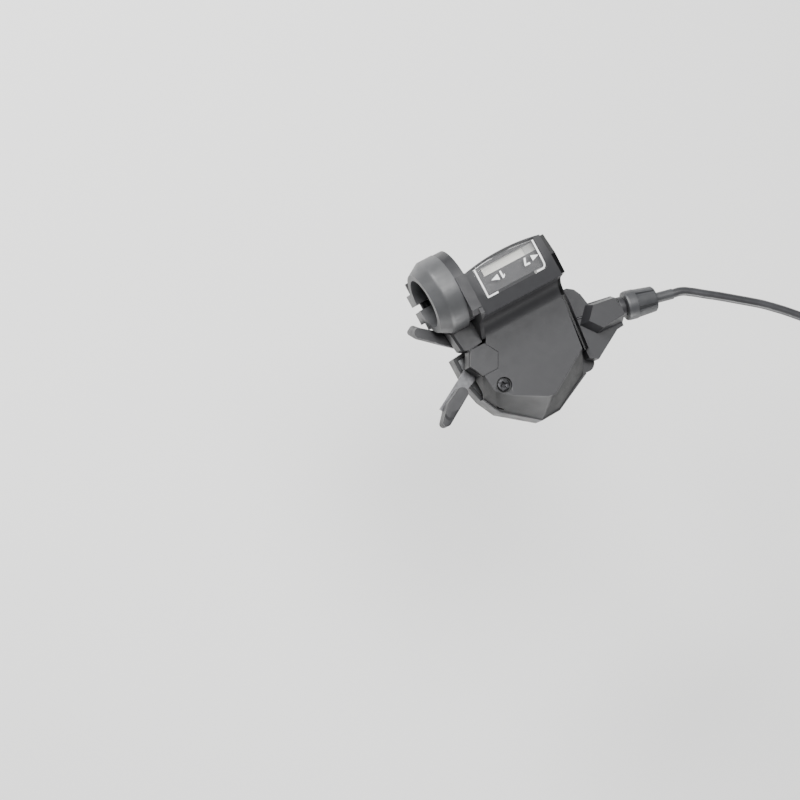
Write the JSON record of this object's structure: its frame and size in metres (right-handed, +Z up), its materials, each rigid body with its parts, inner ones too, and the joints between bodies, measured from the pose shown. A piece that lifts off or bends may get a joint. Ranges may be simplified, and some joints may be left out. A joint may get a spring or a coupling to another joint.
{
  "type": "thumb shifter",
  "caption": "Right-hand handlebar gear shifter with a thumb lever, a finger release trigger, a gear window and a barrel adjuster",
  "frame": {"origin": "centre of the handlebar bore, at the middle of the bar's axis inside the clamp", "axes": "X along the handlebar towards the stem, Y towards the rider, Z up and square to the flat deck"},
  "size_m": [0.2137, 0.1686, 0.0723],
  "materials": {
    "cover_plastic": "fine-textured dark grey moulding",
    "housing_plastic": "satin black moulding",
    "clamp_plastic": "matte dark grey",
    "lever_plastic": "matte black, ribbed",
    "black_screw": "black oxide",
    "steel_plate": "zinc-plated pressing",
    "steel_bright": "turned and ground",
    "spring_steel": "drawn wire",
    "nylon": "natural nylon",
    "lens": "smoked clear plastic",
    "dial_black": "black with white marks",
    "strip_cream": "printed cream",
    "needle_grey": "moulded grey",
    "adjuster_plastic": "moulded black with grip ribs",
    "cable_jacket": "smooth black polymer jacket"
  },
  "bodies": {
    "housing": {"clamp_band": "clamp_plastic", "clamp_bolt": "black_screw", "clamp_nut": "steel_plate", "clamp_screws": "steel_plate", "base_housing": "housing_plastic", "top_cover": "cover_plastic", "cover_screw": "black_screw", "window_lens": "lens", "dial_plate": "dial_black", "display_strip": "strip_cream", "hex_cap": "cover_plastic", "pivot_shaft": "steel_bright", "pivot_nut": "steel_plate", "base_plate": "steel_plate", "bottom_cover": "housing_plastic", "bottom_screws": "black_screw", "inner_cable": "steel_bright", "spacer_bush": "steel_bright", "lever_spring": "spring_steel", "trigger_pin": "steel_bright", "trigger_clip": "spring_steel", "trigger_spring": "spring_steel", "adjuster_insert": "steel_plate", "adjuster_collar": "adjuster_plastic", "adjuster_spring": "spring_steel", "housing_ferrule": "cable_jacket", "outer_cable": "cable_jacket", "cable_coil": "cable_jacket", "coil_tie": "housing_plastic", "end_ferrule": "adjuster_plastic", "wire_end": "steel_bright"},
    "spool_rotor": {"spool": "nylon", "indicator_drum": "nylon", "ratchet_wheel": "steel_plate", "cable_head": "steel_bright"},
    "thumb_lever": {"lever_plate": "steel_plate", "thumb_paddle": "lever_plastic", "drive_pawl_pin": "steel_bright", "drive_pawl_spring": "spring_steel"},
    "drive_pawl_link": {"drive_pawl": "steel_plate"},
    "release_trigger": {"trigger_plate": "steel_plate", "trigger_pad": "lever_plastic"},
    "holding_pawl_link": {"holding_pawl": "steel_plate"},
    "gear_indicator": {"indicator_carriage": "nylon", "indicator_needle": "needle_grey", "indicator_band": "nylon"},
    "adjuster": {"adjuster_knob": "adjuster_plastic"}
  },
  "joints": [
    {"name": "spool_turn", "type": "hinge", "parent": "housing", "child": "spool_rotor", "pos_m": [0.027, -0.0426, -0.006], "axis": [0, 0, 1], "range_deg": [0, 93.91]},
    {"name": "thumb_push", "type": "hinge", "parent": "housing", "child": "thumb_lever", "pos_m": [0.027, -0.0426, -0.006], "axis": [0, 0, 1], "range_deg": [0, 36], "stiffness_Nm_per_rad": 0.12, "springref_deg": -22.92},
    {"name": "drive_pawl_swing", "type": "hinge", "parent": "thumb_lever", "child": "drive_pawl_link", "pos_m": [0.01939, -0.0569, -0.0091], "axis": [0, 0, -1], "range_deg": [0, 8], "stiffness_Nm_per_rad": 0.004, "springref_deg": -17.19},
    {"name": "trigger_pull", "type": "hinge", "parent": "housing", "child": "release_trigger", "pos_m": [0.0045, -0.0333, -0.009], "axis": [0, 0, -1], "range_deg": [0, 14], "stiffness_Nm_per_rad": 0.06, "springref_deg": -17.19},
    {"name": "holding_pawl_lift", "type": "hinge", "parent": "housing", "child": "holding_pawl_link", "pos_m": [0.0045, -0.0333, -0.009], "axis": [0, 0, -1], "range_deg": [0, 7]},
    {"name": "indicator_slide", "type": "slide", "parent": "housing", "child": "gear_indicator", "axis": [1, 0, 0], "range_m": [-0.021, 0], "deforming": ["indicator_band"]},
    {"name": "adjuster_turn", "type": "hinge", "parent": "housing", "child": "adjuster", "pos_m": [0.08019, -0.04329, -0.0061], "axis": [0.9748, -0.2233, 0], "continuous": true}
  ],
  "couplings": [
    {"joint": "indicator_slide", "follows": "spool_turn", "m_per_rad": -0.0128},
    {"joint": "holding_pawl_lift", "follows": "trigger_pull", "ratio": 0.5}
  ]
}
